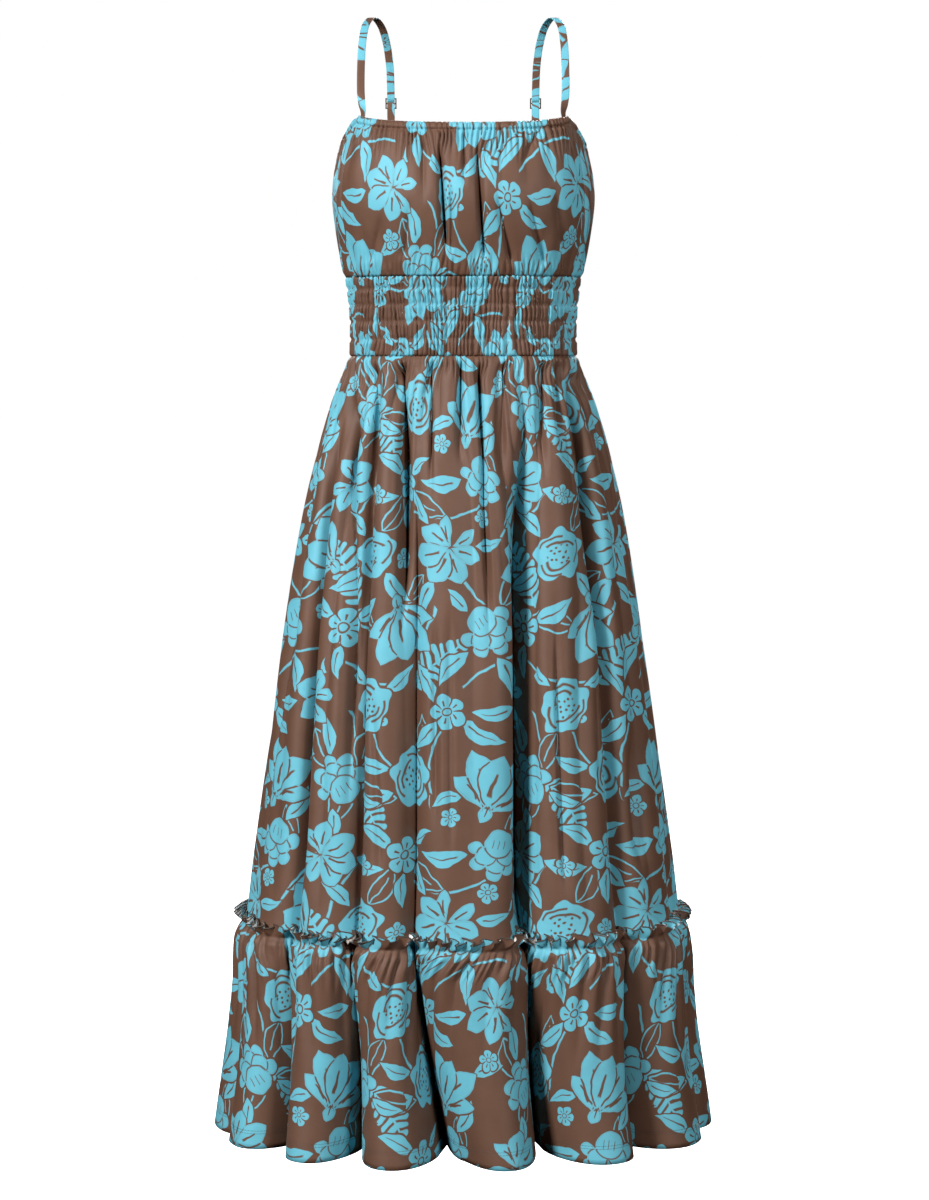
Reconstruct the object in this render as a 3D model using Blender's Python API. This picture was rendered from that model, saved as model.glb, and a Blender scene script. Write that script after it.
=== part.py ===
"""Sleeveless midi sundress, in its worn shape with no wearer, as separate cut pieces of cloth.

Metres, +Z up, front towards -Y, the wearer's left towards +X. The origin is midway between
the tops of the two shoulder straps, where the wearer's shoulders hold the dress.
"""

import math
from collections import namedtuple

import bmesh
import bpy
from mathutils import Vector

# Driving dimensions
CLOTH = 0.0015  # wall of a cloth panel
SEAM_GAP = 0.0003  # clearance between neighbouring pieces
TOP_FRONT = -0.1215  # neckline at the middle of the front
TOP_CORNER = -0.1110  # neckline where the front straps are sewn on
TOP_SIDE = -0.1450  # underarm edge at the side of the body
TOP_BACK = -0.1520  # top edge of the back
WAIST_TOP = -0.2850  # seam of bodice and waistband
WAIST_BOTTOM = -0.3730  # seam of waistband and skirt
TIER_SEAM = -1.0085  # gathering seam of the flounce
HEM = -1.2400
HEADING = 0.0125  # frill that stands above the gathering seam
HEADING_FLARE = 0.0060  # how far the frill leans away from the skirt
CASING_SWELL = 0.0006  # extra thickness of the folded elastic casing along the top

STRAP_WIDTH = 0.0085
STRAP_THICKNESS = 0.0012
SLIDER_WIDTH = 0.0126
SLIDER_LENGTH = 0.0120
SLIDER_THICKNESS = 0.0012
SLIDER_RAIL = 0.0014
LOOP_HALF_WIDTH = 0.00545
LOOP_LENGTH = 0.0052
LOOP_WIRE = 0.0008  # radius
LOOP_CORNER = 0.0012

BROWN = (0.125, 0.062, 0.036)
BLUE = (0.130, 0.520, 0.700)
DARK_METAL = (0.055, 0.040, 0.034)

# Outer outline of the dress at each height: half of its width, and its reach forwards and
# backwards of the strap tops. corner is 2 for an ellipse and more for squarer corners.
Section = namedtuple("Section", "height half_width front back corner")
SECTIONS = (
    Section(-0.108, 0.1245, 0.088, 0.092, 2.8),
    Section(-0.145, 0.1360, 0.101, 0.094, 2.5),
    Section(-0.195, 0.1453, 0.116, 0.096, 2.3),
    Section(-0.233, 0.1424, 0.112, 0.094, 2.3),
    Section(-0.278, 0.1315, 0.098, 0.090, 2.3),
    Section(-0.322, 0.1261, 0.093, 0.088, 2.3),
    Section(-0.366, 0.1251, 0.094, 0.091, 2.3),
    Section(-0.389, 0.1298, 0.097, 0.098, 2.3),
    Section(-0.433, 0.1466, 0.109, 0.115, 2.2),
    Section(-0.523, 0.1700, 0.127, 0.136, 2.2),
    Section(-0.658, 0.1955, 0.146, 0.156, 2.2),
    Section(-0.794, 0.2172, 0.161, 0.171, 2.2),
    Section(-0.932, 0.2360, 0.174, 0.182, 2.2),
    Section(-1.047, 0.2535, 0.188, 0.193, 2.3),
    Section(-1.163, 0.2700, 0.205, 0.208, 2.4),
    Section(-1.240, 0.2810, 0.218, 0.220, 2.5),
)

# Long folds of skirt and flounce, in order round the dress from the front (0 degrees) over
# the wearer's left (90): where each runs at the tier seam and at the hem, and how far it
# lies inside the outline at mid-skirt, at the tier seam and at the hem.
Fold = namedtuple("Fold", "turn_tier turn_hem mid tier hem")
FRONT_FOLDS = (
    Fold(-90, -90, 0.000, 0.000, 0.000),
    Fold(-74, -73, 0.004, 0.006, 0.016),
    Fold(-62, -61, 0.000, 0.000, 0.002),
    Fold(-50, -47, 0.012, 0.015, 0.072),
    Fold(-38, -34, 0.000, 0.000, 0.002),
    Fold(-27, -22, 0.014, 0.015, 0.082),
    Fold(-19, -12, 0.001, 0.001, 0.000),
    Fold(-11, -2, 0.013, 0.018, 0.090),
    Fold(2, 6, 0.000, 0.000, 0.000),
    Fold(14, 15, 0.020, 0.024, 0.092),
    Fold(29, 31, 0.000, 0.000, 0.002),
    Fold(45, 45, 0.011, 0.014, 0.066),
    Fold(61, 65, 0.000, 0.000, 0.000),
    Fold(76, 78, 0.005, 0.007, 0.020),
    Fold(90, 90, 0.000, 0.000, 0.000),
)
BACK_FOLDS = (
    FRONT_FOLDS[-1],
    Fold(107, 105, 0.008, 0.010, 0.050),
    Fold(124, 122, 0.000, 0.000, 0.000),
    Fold(140, 139, 0.012, 0.014, 0.062),
    Fold(156, 155, 0.000, 0.001, 0.004),
    Fold(170, 169, 0.015, 0.018, 0.076),
    Fold(184, 185, 0.000, 0.000, 0.000),
    Fold(199, 201, 0.013, 0.016, 0.080),
    Fold(214, 216, 0.000, 0.000, 0.004),
    Fold(229, 231, 0.010, 0.013, 0.060),
    Fold(243, 244, 0.000, 0.000, 0.000),
    Fold(257, 257, 0.007, 0.009, 0.044),
    Fold(270, 270, 0.000, 0.000, 0.000),
)
FOLD_COLUMNS = 4  # columns of the cloth from one fold to the next
RIDGE_BREADTH = 0.6  # under 1, ridges are broad and valleys narrow
FLOUNCE_OPENING = 0.85  # under 1, the folds of the flounce deepen early below its seam
FOLD_START = -0.400  # the long folds grow out of the waist gathers from here down
FOLD_MIDDLE = -0.650

# Soft folds of the bodice front: where, how wide, how deep, and where each begins.
Drape = namedtuple("Drape", "turn spread depth top")
DRAPES = (
    Drape(-36, 5.0, 0.0030, -0.155),
    Drape(-15, 4.5, 0.0060, -0.135),
    Drape(-4, 3.5, 0.0035, -0.145),
    Drape(7, 4.0, 0.0045, -0.140),
    Drape(24, 5.0, 0.0040, -0.145),
)

# Where the seam of bodice front and back runs, in degrees from the front.
SeamPoint = namedtuple("SeamPoint", "height turn")
BODICE_SEAM = (
    SeamPoint(-0.100, 65),
    SeamPoint(-0.130, 68),
    SeamPoint(-0.170, 73),
    SeamPoint(-0.290, 74),
)

# Levels of the flounce, from the free edge of its frill to the hem, and how far each
# stands away from the skirt's line.
FlounceRow = namedtuple("FlounceRow", "height lift")
FLOUNCE_ROWS = (
    FlounceRow(TIER_SEAM + HEADING, HEADING_FLARE),
    FlounceRow(TIER_SEAM, 0.0),
    FlounceRow(TIER_SEAM - 0.050, 0.0),
    FlounceRow(TIER_SEAM - 0.105, 0.0),
    FlounceRow(TIER_SEAM - 0.165, 0.0),
    FlounceRow(HEM, 0.0),
)

# Levels of the bodice as shares of its depth, with the casing at the top.
BODICE_ROWS = (0.0, 0.042, 0.052, 0.26, 0.46, 0.66, 0.85, 1.0)
CASING_ROW = 1  # the casing ends at this row
BODICE_COLUMNS = 26
BAND_COLUMNS = 22
BAND_ROWS = 3
SKIRT_ROWS = 8
SKIRT_TUCK = 0.002  # how far the skirt reaches below the gathering seam

# The strap on the wearer's left: the middle of the strap, from behind the front casing
# over the shoulder to the top of the straight run at the back, and how far its width is
# turned about the vertical, in degrees.
StrapPoint = namedtuple("StrapPoint", "x y z turned")
STRAP_ROUTE = (
    StrapPoint(0.1112, -0.0561, -0.1205, 51),
    StrapPoint(0.1090, -0.0548, -0.1085, 51),
    StrapPoint(0.1108, -0.0500, -0.0965, 22),
    StrapPoint(0.1118, -0.0455, -0.0830, 0),
    StrapPoint(0.1116, -0.0410, -0.0560, 0),
    StrapPoint(0.1102, -0.0345, -0.0305, 0),
    StrapPoint(0.1070, -0.0215, -0.0110, 0),
    StrapPoint(0.0995, 0.0000, -0.0006, 0),
    StrapPoint(0.0912, 0.0225, -0.0075, 0),
    StrapPoint(0.0859, 0.0390, -0.0240, 0),
    StrapPoint(0.0826, 0.0495, -0.0480, 0),
    StrapPoint(0.0818, 0.0561, -0.0700, 0),
)
STRAP_STEPS = 2  # sections for each stretch of the route

# The straight run at the back is measured along the strap from the slider's bar (s) and
# outwards from the strap's middle (n).
SLIDER_BAR = (0.0817, 0.0607, -0.0890)
BACK_SLOPE = math.radians(14)
WEAVE = STRAP_THICKNESS / 2 + SEAM_GAP + SLIDER_THICKNESS / 2
RAIL_EDGE = SLIDER_LENGTH / 2 - SLIDER_RAIL
LOOP_AT = 0.0515  # the loop's upper bar
TAB_END = 0.0715


def smooth_value(heights, values, height):
    """Value at a height on the smooth curve through the table's points, top to bottom."""
    last = len(heights) - 1
    if height >= heights[0]:
        return values[0]
    if height <= heights[last]:
        return values[last]
    index = next(i for i in range(last) if heights[i + 1] <= height)

    def slope(i):
        low, high = max(i - 1, 0), min(i + 1, last)
        return (values[high] - values[low]) / (heights[high] - heights[low])

    span = heights[index + 1] - heights[index]
    t = (height - heights[index]) / span
    start, end = values[index], values[index + 1]
    leaving, arriving = slope(index) * span, slope(index + 1) * span
    return (
        (2 * t**3 - 3 * t**2 + 1) * start
        + (t**3 - 2 * t**2 + t) * leaving
        + (3 * t**2 - 2 * t**3) * end
        + (t**3 - t**2) * arriving
    )


def table_value(rows, name, height):
    return smooth_value([r.height for r in rows], [getattr(r, name) for r in rows], height)


def ease(t):
    """A soft step from 0 to 1."""
    return 0.5 - 0.5 * math.cos(math.pi * min(max(t, 0.0), 1.0))


def outline(turn, height):
    """Point of the outer outline, as (x, y), at a turn in degrees from the front."""
    side, ahead = math.sin(math.radians(turn)), math.cos(math.radians(turn))
    power = 2 / table_value(SECTIONS, "corner", height)
    reach = table_value(SECTIONS, "front" if ahead > 0 else "back", height)
    x = table_value(SECTIONS, "half_width", height) * abs(side) ** power
    y = reach * abs(ahead) ** power
    return Vector((math.copysign(x, side), math.copysign(y, -ahead)))


def outward(curve, turn, height):
    """Level direction away from the wearer, square to a closed curve at a turn."""
    step = 0.6
    along = curve(turn + step, height) - curve(turn - step, height)
    return Vector((along.y, -along.x)).normalized()


def fold_row(fold, height):
    """(turn, depth) of a long fold at a height."""
    to_mid = ease((FOLD_START - height) / (FOLD_START - FOLD_MIDDLE))
    to_tier = min(max((FOLD_MIDDLE - height) / (FOLD_MIDDLE - TIER_SEAM), 0.0), 1.0)
    to_hem = min(max((TIER_SEAM - height) / (TIER_SEAM - HEM), 0.0), 1.0)
    depth = fold.mid * to_mid + (fold.tier - fold.mid) * to_tier
    depth += (fold.hem - fold.tier) * to_hem**FLOUNCE_OPENING
    return fold.turn_tier + (fold.turn_hem - fold.turn_tier) * to_hem, depth


def fold_depth(turn, height):
    """How far the skirt lies inside its outline here: broad ridges and narrow valleys."""
    turn = (turn + 90) % 360 - 90
    folds = FRONT_FOLDS + BACK_FOLDS[1:]
    for before, after in zip(folds, folds[1:]):
        (start, first), (end, last) = fold_row(before, height), fold_row(after, height)
        if turn <= end:
            share = (turn - start) / (end - start)
            from_valley = share if first > last else 1 - share
            deep, shallow = max(first, last), min(first, last)
            return deep - (deep - shallow) * ease(from_valley**RIDGE_BREADTH)
    return 0.0


def fold_turn(folds, u, height):
    """Turn at a share u of the way through a panel whose columns follow its folds."""
    steps = len(folds) - 1
    index = min(int(u * steps), steps - 1)
    start, end = fold_row(folds[index], height)[0], fold_row(folds[index + 1], height)[0]
    gap = gap_turn(folds[0].turn_tier, height) * (1 - 2 * u)
    return start + (end - start) * (u * steps - index) + gap


def drape_depth(turn, height):
    """How far the bodice front lies inside its outline here."""
    turn = (turn + 180) % 360 - 180
    depth = 0.0
    for drape in DRAPES:
        down = ease((drape.top - height) / 0.030) * ease((height - WAIST_TOP) / 0.012)
        across = math.exp(-(((turn - drape.turn) / drape.spread) ** 2))
        depth += drape.depth * down * across
    return depth


def dressed_curve(turn, height):
    """The outline with its folds, as (x, y)."""
    if height > WAIST_TOP:
        inwards = drape_depth(turn, height)
    elif height < FOLD_START:
        inwards = fold_depth(turn, height)
    else:
        inwards = 0.0
    return outline(turn, height) - outward(outline, turn, height) * inwards


def cloth_point(turn, height, lift):
    """Point moved out by lift from the outer face of the cloth, level and square to it."""
    flat = dressed_curve(turn, height) + outward(dressed_curve, turn, height) * lift
    return Vector((flat.x, flat.y, height))


def neckline(turn):
    """Height of the top edge: a shallow dip in front, then down under the arm to the back."""
    turn = abs((turn + 180) % 360 - 180)
    corner = BODICE_SEAM[0].turn
    if turn <= corner:
        return TOP_FRONT + (TOP_CORNER - TOP_FRONT) * (turn / corner) ** 2
    if turn <= 90:
        return TOP_CORNER + (TOP_SIDE - TOP_CORNER) * (turn - corner) / (90 - corner)
    return TOP_SIDE + (TOP_BACK - TOP_SIDE) * ease((turn - 90) / 35)


def make_material(name, colour, roughness, metallic=0.0):
    material = bpy.data.materials.new(name)
    material.use_nodes = True
    shader = material.node_tree.nodes["Principled BSDF"]
    shader.inputs["Base Color"].default_value = (*colour, 1.0)
    shader.inputs["Roughness"].default_value = roughness
    shader.inputs["Metallic"].default_value = metallic
    material.diffuse_color = (*colour, 1.0)
    return material


def add_object(name, bm, material, sharp_from=50):
    """Turns a bmesh into an object of the dress."""
    bmesh.ops.recalc_face_normals(bm, faces=bm.faces)
    if bm.calc_volume(signed=True) < 0:
        bmesh.ops.reverse_faces(bm, faces=bm.faces)
    mesh = bpy.data.meshes.new(name)
    bm.to_mesh(mesh)
    bm.free()
    mesh.shade_smooth()
    mesh.set_sharp_from_angle(angle=math.radians(sharp_from))
    mesh.materials.append(material)
    made = bpy.data.objects.new(name, mesh)
    dress.objects.link(made)
    return made


def make_panel(name, place, columns, rows, material):
    """A cut piece of cloth. place(u, row, w) puts each point of a flat slab on the dress:
    u runs from 0 to 1 along the seams, and w is 0 on the outer face and 1 on the inner."""
    bm = bmesh.new()
    bmesh.ops.create_grid(bm, x_segments=columns, y_segments=rows, size=0.5)
    bmesh.ops.translate(bm, verts=bm.verts, vec=(0.5, 0.5, 0.0))
    inner = bmesh.ops.extrude_face_region(bm, geom=bm.faces[:], use_keep_orig=True)
    moved = [part for part in inner["geom"] if isinstance(part, bmesh.types.BMVert)]
    bmesh.ops.translate(bm, verts=moved, vec=(0.0, 0.0, 1.0))
    for vert in bm.verts:
        vert.co = place(vert.co.x, round(vert.co.y * rows), vert.co.z)
    return add_object(name, bm, material)


def gap_turn(seam, height):
    """Turn from a seam to the edge of a panel, half of the seam's gap away."""
    turn = 0.001
    while (outline(seam + turn, height) - outline(seam, height)).length < SEAM_GAP / 2:
        turn *= 1.2
    return turn


def seam_turn(height):
    """Where the bodice's side seam runs on the wearer's left."""
    return table_value(BODICE_SEAM, "turn", height)


def bodice_place(first_seam, last_seam):
    """Placing function of a bodice panel between two seams, given as functions of height."""

    def place(u, row, w):
        height = TOP_BACK
        for _ in range(5):
            gap = gap_turn(seam_turn(height), height)
            first, last = first_seam(height) + gap, last_seam(height) - gap
            turn = first + (last - first) * u
            top = neckline(turn)
            height = top + (WAIST_TOP + SEAM_GAP / 2 - top) * BODICE_ROWS[row]
        swell = CASING_SWELL if row <= CASING_ROW else 0.0
        return cloth_point(turn, height, swell * (1 - w) - CLOTH * w)

    return place


def band_place(folds):
    """Placing function of a waistband panel, which ends at the same seams as a skirt panel."""
    first, last = folds[0].turn_tier, folds[-1].turn_tier

    def place(u, row, w):
        height = WAIST_TOP + (WAIST_BOTTOM - WAIST_TOP) * row / BAND_ROWS
        height += SEAM_GAP * (row / BAND_ROWS - 0.5)
        turn = first + (last - first) * u + gap_turn(first, height) * (1 - 2 * u)
        return cloth_point(turn, height, -CLOTH * w)

    return place


def skirt_place(folds):
    """Placing function of a skirt panel, from the waist seam to just below the tier seam."""
    top = WAIST_BOTTOM - SEAM_GAP / 2
    bottom = TIER_SEAM - SKIRT_TUCK

    def place(u, row, w):
        height = top + (bottom - top) * row / SKIRT_ROWS
        return cloth_point(fold_turn(folds, u, height), height, -CLOTH * w)

    return place


def flounce_place(folds):
    """The flounce hangs outside the skirt's edge, with its frill above the seam."""

    def place(u, row, w):
        level = FLOUNCE_ROWS[row]
        turn = fold_turn(folds, u, level.height)
        return cloth_point(turn, level.height, level.lift + SEAM_GAP + CLOTH * (1 - w))

    return place


def curve_through(points, steps):
    """Values on a smooth curve through a route's own values."""
    ends = [points[0] * 2 - points[1], *points, points[-1] * 2 - points[-2]]
    found = []
    for a, b, c, d in zip(ends, ends[1:], ends[2:], ends[3:]):
        for step in range(steps):
            t = step / steps
            square = (2 * a - 5 * b + 4 * c - d) * t**2
            cube = (3 * b - a - 3 * c + d) * t**3
            found.append((2 * b + (c - a) * t + square + cube) / 2)
    return found + [points[-1]]


def make_ribbon(name, points, turned, material):
    """A flat strap along the points. Its width is level, and turned from the X axis by an
    angle at each point."""
    bm = bmesh.new()
    rings = []
    for index, (point, angle) in enumerate(zip(points, turned)):
        before, after = points[max(index - 1, 0)], points[min(index + 1, len(points) - 1)]
        along = (after - before).normalized()
        level = Vector((math.cos(math.radians(angle)), math.sin(math.radians(angle)), 0))
        across = (level - along * along.dot(level)).normalized() * STRAP_WIDTH / 2
        out = across.cross(along).normalized() * STRAP_THICKNESS / 2
        corners = (across + out, across - out, -across - out, -across + out)
        rings.append([bm.verts.new(point + corner) for corner in corners])
    for low, high in zip(rings, rings[1:]):
        for side in range(4):
            after = (side + 1) % 4
            bm.faces.new((low[side], low[after], high[after], high[side]))
    bm.faces.new(rings[0])
    bm.faces.new(reversed(rings[-1]))
    return add_object(name, bm, material)


def back_point(side, s, n, x=0.0):
    """Point on the straight back run of a strap: s down the strap, n outwards, x across."""
    along = Vector((0, math.sin(BACK_SLOPE), -math.cos(BACK_SLOPE)))
    out = Vector((0, math.cos(BACK_SLOPE), math.sin(BACK_SLOPE)))
    place = Vector(SLIDER_BAR) + along * s + out * n + Vector((x, 0, 0))
    place.x *= side
    return place


def make_strap(name, side, material):
    """Over the shoulder, through the slider, round the loop and up to the slider's bar."""
    route = [Vector((row.x * side, row.y, row.z)) for row in STRAP_ROUTE]
    points = curve_through(route, STRAP_STEPS)
    turned = curve_through([row.turned * side for row in STRAP_ROUTE], STRAP_STEPS)
    turn_radius = LOOP_WIRE + SEAM_GAP + STRAP_THICKNESS / 2
    path = [
        (-SLIDER_LENGTH / 2 - 0.001, 0.0),
        (-RAIL_EDGE + 0.0002, 0.0),
        (-SLIDER_RAIL / 2 - 0.0003, 2 * WEAVE),
        (SLIDER_RAIL / 2 + 0.0003, 2 * WEAVE),
        (RAIL_EDGE - 0.0002, 0.0),
        (SLIDER_LENGTH / 2 + 0.001, 0.0),
    ]
    for step in range(7):
        angle = math.pi * step / 6
        path.append(
            (
                LOOP_AT + turn_radius * math.sin(angle),
                turn_radius * (math.cos(angle) - 1),
            )
        )
    path += [
        (SLIDER_LENGTH / 2 + 0.006, -WEAVE - 0.0006),
        (RAIL_EDGE, -WEAVE - 0.0003),
        (SLIDER_RAIL, 0.0),
        (-SLIDER_RAIL, 0.0),
    ]
    points += [back_point(side, s, n) for s, n in path]
    turned += [0.0] * len(path)
    return make_ribbon(name, points, turned, material)


def make_slider(name, side, material):
    """A flat frame with a bar across its middle."""
    bm = bmesh.new()
    bmesh.ops.create_grid(bm, x_segments=3, y_segments=5, size=0.5)
    across = (-0.5, -0.5 + SLIDER_RAIL / SLIDER_WIDTH, 0.5 - SLIDER_RAIL / SLIDER_WIDTH, 0.5)
    rail = SLIDER_RAIL / SLIDER_LENGTH
    down = (-0.5, -0.5 + rail, -rail / 2, rail / 2, 0.5 - rail, 0.5)
    slots = [
        face
        for face in bm.faces
        if abs(face.calc_center_median().x) < 0.1
        and 0.1 < abs(face.calc_center_median().y) < 0.3
    ]
    bmesh.ops.delete(bm, geom=slots, context="FACES")
    top = bmesh.ops.extrude_face_region(bm, geom=bm.faces[:], use_keep_orig=True)
    moved = [part for part in top["geom"] if isinstance(part, bmesh.types.BMVert)]
    bmesh.ops.translate(bm, verts=moved, vec=(0.0, 0.0, 1.0))
    for vert in bm.verts:
        x = across[round((vert.co.x + 0.5) * 3)] * SLIDER_WIDTH
        s = down[round((vert.co.y + 0.5) * 5)] * SLIDER_LENGTH
        n = WEAVE + (vert.co.z - 0.5) * SLIDER_THICKNESS
        vert.co = back_point(side, s, n, x)
    return add_object(name, bm, material, sharp_from=30)


def make_loop(name, side, material):
    """A rectangular wire loop that joins the strap to its tab."""
    curve = bpy.data.curves.new(name, "CURVE")
    curve.dimensions = "3D"
    curve.bevel_depth = LOOP_WIRE
    curve.bevel_resolution = 1
    middle = LOOP_AT + LOOP_LENGTH / 2
    depth = -(LOOP_WIRE + SEAM_GAP + STRAP_THICKNESS / 2)
    points = []
    for quarter, (right, low) in enumerate(((1, 1), (-1, 1), (-1, -1), (1, -1))):
        for step in range(3):
            angle = math.radians(90 * quarter + 45 * step)
            x = right * (LOOP_HALF_WIDTH - LOOP_CORNER) + LOOP_CORNER * math.cos(angle)
            s = low * (LOOP_LENGTH / 2 - LOOP_CORNER) + LOOP_CORNER * math.sin(angle)
            points.append(back_point(side, middle + s, depth, x))
    spline = curve.splines.new("POLY")
    spline.points.add(len(points) - 1)
    for point, place in zip(spline.points, points):
        point.co = (*place, 1.0)
    spline.use_cyclic_u = True
    curve.materials.append(material)
    made = bpy.data.objects.new(name, curve)
    dress.objects.link(made)
    return made


def make_tab(name, side, material):
    """Folded round the loop's lower bar, with both ends sewn down behind the back casing."""
    turn_radius = LOOP_WIRE + SEAM_GAP + STRAP_THICKNESS / 2
    bar = LOOP_AT + LOOP_LENGTH
    path = [(TAB_END, -0.0002), (bar + 0.008, -0.0006)]
    for step in range(7):
        angle = math.pi * step / 6
        path.append((bar - turn_radius * math.sin(angle), turn_radius * (math.cos(angle) - 1)))
    path += [(bar + 0.008, -0.0024), (TAB_END, -0.0020)]
    points = [back_point(side, s, n) for s, n in path]
    return make_ribbon(name, points, [0.0] * len(path), material)


for old in list(bpy.data.objects):
    bpy.data.objects.remove(old)

dress = bpy.data.collections.new("sundress")
bpy.context.scene.collection.children.link(dress)

panels = (
    ("bodice_front", bodice_place(lambda z: -seam_turn(z), seam_turn), BROWN),
    ("bodice_back", bodice_place(seam_turn, lambda z: 360 - seam_turn(z)), BROWN),
)
for name, place, colour in panels:
    material = make_material(name + " cloth", colour, 0.5)
    make_panel(name, place, BODICE_COLUMNS, len(BODICE_ROWS) - 1, material)

for label, folds in (("front", FRONT_FOLDS), ("back", BACK_FOLDS)):
    columns = FOLD_COLUMNS * (len(folds) - 1)
    rings = (
        ("waistband_" + label, band_place(folds), BAND_COLUMNS, BAND_ROWS, BLUE),
        ("skirt_" + label, skirt_place(folds), columns, SKIRT_ROWS, BROWN),
        ("flounce_" + label, flounce_place(folds), columns, len(FLOUNCE_ROWS) - 1, BLUE),
    )
    for name, place, across, down, colour in rings:
        make_panel(name, place, across, down, make_material(name + " cloth", colour, 0.5))

for label, side in (("left", 1), ("right", -1)):
    make_strap("strap_" + label, side, make_material(f"strap {label} cloth", BROWN, 0.5))
    make_slider("slider_" + label, side, make_material(f"slider {label}", DARK_METAL, 0.35, 0.6))
    make_loop("loop_" + label, side, make_material(f"loop {label}", DARK_METAL, 0.35, 0.6))
    make_tab("loop_tab_" + label, side, make_material(f"tab {label} cloth", BROWN, 0.5))
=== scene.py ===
import math
from functools import reduce

import bmesh
import bpy
import numpy as np
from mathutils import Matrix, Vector


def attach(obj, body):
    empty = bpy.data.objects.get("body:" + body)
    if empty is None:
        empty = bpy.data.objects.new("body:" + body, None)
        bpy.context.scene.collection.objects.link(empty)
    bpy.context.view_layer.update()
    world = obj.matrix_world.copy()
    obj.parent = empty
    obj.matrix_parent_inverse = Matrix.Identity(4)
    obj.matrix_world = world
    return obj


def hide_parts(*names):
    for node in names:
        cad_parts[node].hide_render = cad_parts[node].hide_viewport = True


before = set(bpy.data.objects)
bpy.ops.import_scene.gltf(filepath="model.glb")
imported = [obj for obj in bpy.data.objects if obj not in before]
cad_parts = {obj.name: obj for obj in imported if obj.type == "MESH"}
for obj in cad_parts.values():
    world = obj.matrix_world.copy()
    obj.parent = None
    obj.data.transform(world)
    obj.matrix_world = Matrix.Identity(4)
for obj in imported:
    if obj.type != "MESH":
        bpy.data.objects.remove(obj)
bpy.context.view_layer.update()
scene = bpy.context.scene

# Camera, floor and light
view = {
    "place": (0.0014, -3.1, -0.365),
    "tiltDown": 5.19,  # degrees
    "lens": 82.9,
    "sensor": 36,
    "air": 1.0,  # brightness of the white room that the camera sees
    "floorHeight": -1.62,
    "floorReach": 30.0,
    "floorColour": (0.80, 0.80, 0.80, 1),
    "floorRoughness": 0.9,
    "floorGlow": 1.0,
}
lamps = (
    # name, place, aim, width, height, watts
    ("keyLight", (-2.5, -2.5, 1.25), (0.0, 0.0, -0.60), 0.8, 1.1, 232),
    ("frontLight", (1.8, -2.8, 0.6), (0.0, 0.0, -0.80), 0.8, 0.8, 74),
    ("sideLight", (2.7, -1.2, 0.9), (0.0, 0.0, -0.55), 0.8, 1.4, 14),
    ("backLight", (1.3, 3.3, 1.8), (0.0, 0.0, -0.40), 0.8, 1.2, 270),
    ("backFillLight", (-1.5, 3.2, 0.9), (0.0, 0.0, -0.50), 0.9, 0.9, 60),
)
white = (1, 1, 1, 1)


def addObject(name, data):
    made = bpy.data.objects.new(name, data)
    scene.collection.objects.link(made)
    return made


def makeView():
    lens = bpy.data.cameras.new("camera")
    lens.lens = view["lens"]
    lens.sensor_width = view["sensor"]
    camera = addObject("camera", lens)
    camera.location = view["place"]
    camera.rotation_euler = (math.radians(90 - view["tiltDown"]), 0, 0)
    scene.camera = camera
    scene.view_settings.view_transform = "Standard"
    world = bpy.data.worlds.new("studioAir")
    scene.world = world
    world.use_nodes = True
    air = world.node_tree.nodes["Background"].inputs
    air["Color"].default_value = white
    air["Strength"].default_value = view["air"]
    world.cycles_visibility.diffuse = False
    world.cycles_visibility.glossy = False
    for name, place, aim, width, height, watts in lamps:
        lamp = bpy.data.lights.new(name, "AREA")
        lamp.shape = "RECTANGLE"
        lamp.size = width
        lamp.size_y = height
        lamp.energy = watts
        made = addObject(name, lamp)
        made.location = place
        made.rotation_euler = (Vector(aim) - Vector(place)).to_track_quat("-Z", "Y").to_euler()


def makeFloor():
    shape = bmesh.new()
    bmesh.ops.create_grid(shape, x_segments=1, y_segments=1, size=view["floorReach"])
    bmesh.ops.translate(shape, verts=shape.verts[:], vec=(0, 0, view["floorHeight"]))
    mesh = bpy.data.meshes.new("floor")
    shape.to_mesh(mesh)
    shape.free()
    floor = addObject("floor", mesh)
    # the floor glows as white as the room, and leaves the dress to the lamps
    floor.visible_diffuse = False
    floor.visible_glossy = False
    floor.visible_shadow = False
    paper = bpy.data.materials.new("floorPaper")
    paper.use_nodes = True
    skin = paper.node_tree.nodes["Principled BSDF"].inputs
    skin["Base Color"].default_value = view["floorColour"]
    skin["Roughness"].default_value = view["floorRoughness"]
    skin["Emission Color"].default_value = white
    skin["Emission Strength"].default_value = view["floorGlow"]
    mesh.materials.append(paper)


makeView()
makeFloor()
print("camera, floor and lights are set")


# Shape of the dress: level outlines from the top to the hem
sections = (
    # in millimetres: height, half width, reach in front and behind; squareness of the corners
    (-108, 124.5, 88, 92, 2.8),
    (-145, 136, 101, 94, 2.5),
    (-195, 145.3, 116, 96, 2.3),
    (-233, 142.4, 112, 94, 2.3),
    (-278, 131.5, 98, 90, 2.3),
    (-322, 126.1, 93, 88, 2.3),
    (-366, 125.1, 94, 91, 2.3),
    (-389, 129.8, 97, 98, 2.3),
    (-433, 146.6, 109, 115, 2.2),
    (-523, 170, 127, 136, 2.2),
    (-658, 195.5, 146, 156, 2.2),
    (-794, 217.2, 161, 171, 2.2),
    (-932, 236, 174, 182, 2.2),
    (-1047, 253.5, 188, 193, 2.3),
    (-1163, 270, 205, 208, 2.4),
    (-1240, 281, 218, 220, 2.5),
)
levels = {
    "topFront": -0.1215,
    "topCorner": -0.111,
    "topSide": -0.145,
    "topBack": -0.152,
    "waistTop": -0.285,
    "waistBottom": -0.373,
    "tierSeam": -1.0085,
    "hem": -1.24,
    "foldStart": -0.4,
    "foldMiddle": -0.65,
}
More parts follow.
